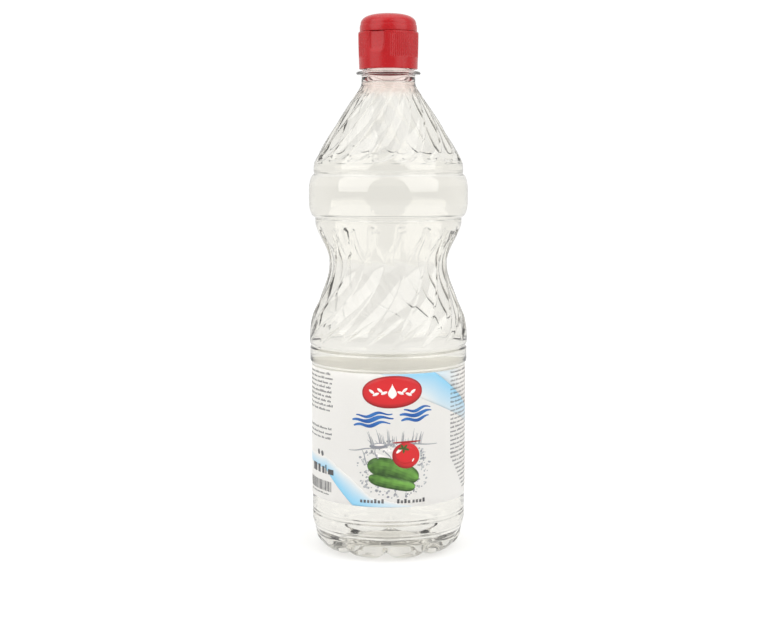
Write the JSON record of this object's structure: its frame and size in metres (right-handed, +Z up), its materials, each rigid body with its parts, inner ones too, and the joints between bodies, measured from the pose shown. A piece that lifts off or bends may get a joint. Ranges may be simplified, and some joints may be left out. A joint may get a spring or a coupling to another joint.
{
  "type": "vinegar bottle",
  "caption": "Clear waisted plastic bottle of white vinegar with twisted flutes, a wrap label and a red flip-top screw cap.",
  "frame": {"origin": "on the plane that the feet stand on, on the bottle's axis", "axes": "+Z up along the bottle's axis, -Y out of the label's front, +X to the right seen from the front"},
  "size_m": [0.0826, 0.0826, 0.2784],
  "materials": {
    "clear_plastic": "glossy, clear blown plastic",
    "vinegar": "clear liquid with a very pale straw tint",
    "label": "satin printed wrap label, off-white",
    "red_plastic": "satin to glossy moulded red plastic"
  },
  "bodies": {
    "bottle": {"bottle": "clear_plastic", "vinegar": "vinegar", "label": "label", "cap": "red_plastic"},
    "lid": {"lid": "red_plastic"}
  },
  "joints": [
    {"name": "lid_hinge", "type": "hinge", "parent": "bottle", "child": "lid", "pos_m": [0.00651, 0.01462, 0.26898], "axis": [-0.9135, 0.4067, 0], "range_deg": [0, 135]}
  ]
}
